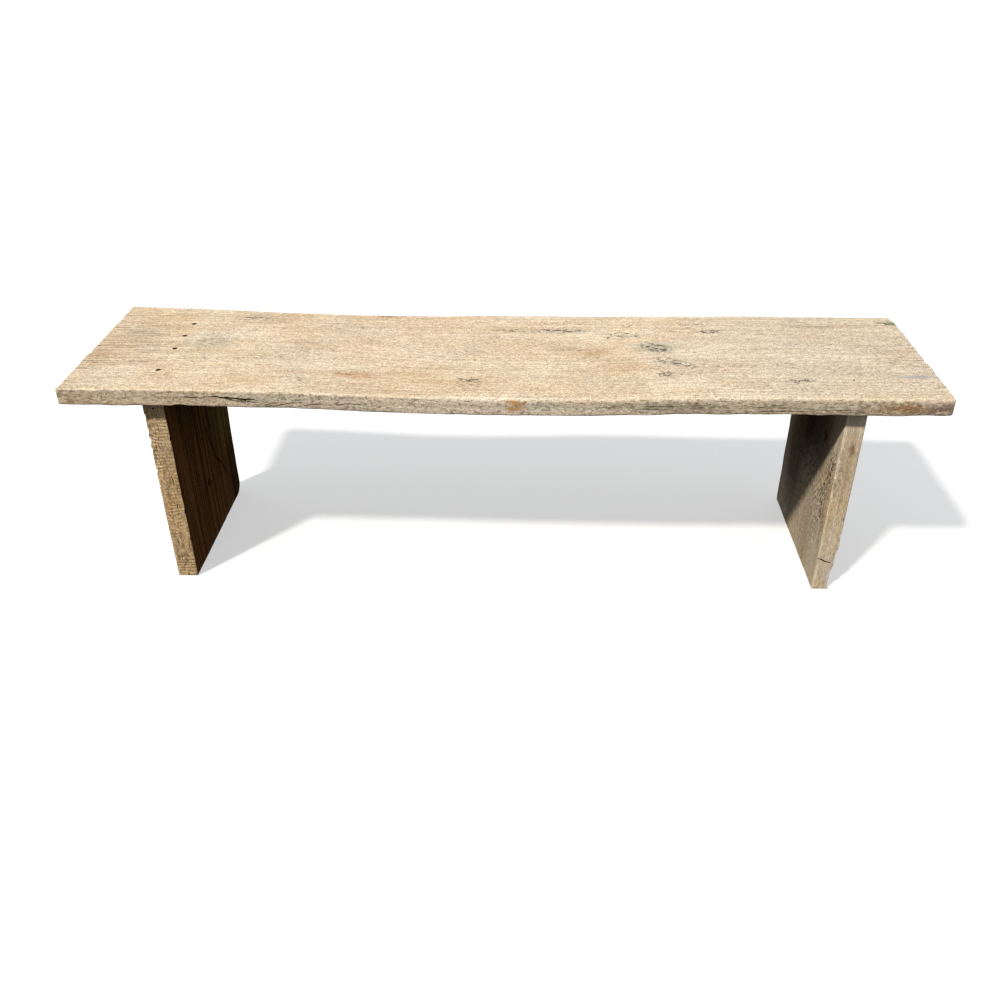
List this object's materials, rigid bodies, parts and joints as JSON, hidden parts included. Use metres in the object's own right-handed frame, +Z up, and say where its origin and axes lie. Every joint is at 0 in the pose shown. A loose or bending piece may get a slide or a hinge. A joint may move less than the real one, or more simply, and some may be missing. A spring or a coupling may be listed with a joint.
{
  "type": "backless bench",
  "caption": "Long rustic plank bench without a back: a thick sagging board seat with a wandering back edge, standing on upright slab legs set in from its ends.",
  "frame": {"origin": "on the floor, at the middle of the overall box of the bench", "axes": "+X along the seat to the right as seen from the straight front edge, +Y towards the wandering back edge, +Z up"},
  "size_m": [1.7, 0.43, 0.46],
  "materials": {
    "seat_wood": "bleached, weathered and brushed old hardwood, unvarnished",
    "leg_wood": "rough-sawn old hardwood, unvarnished",
    "cleat_wood": "planed hardwood, unvarnished",
    "screw_steel": "plain steel, darkened and rusted"
  },
  "bodies": {
    "root": {"seat_plank": "seat_wood", "left_leg": "leg_wood", "right_leg": "leg_wood", "left_cleat": "cleat_wood", "right_cleat": "cleat_wood", "left_seat_screws": "screw_steel", "right_seat_screws": "screw_steel", "left_cleat_leg_screws": "screw_steel", "right_cleat_leg_screws": "screw_steel", "left_cleat_seat_screws": "screw_steel", "right_cleat_seat_screws": "screw_steel"}
  },
  "joints": []
}
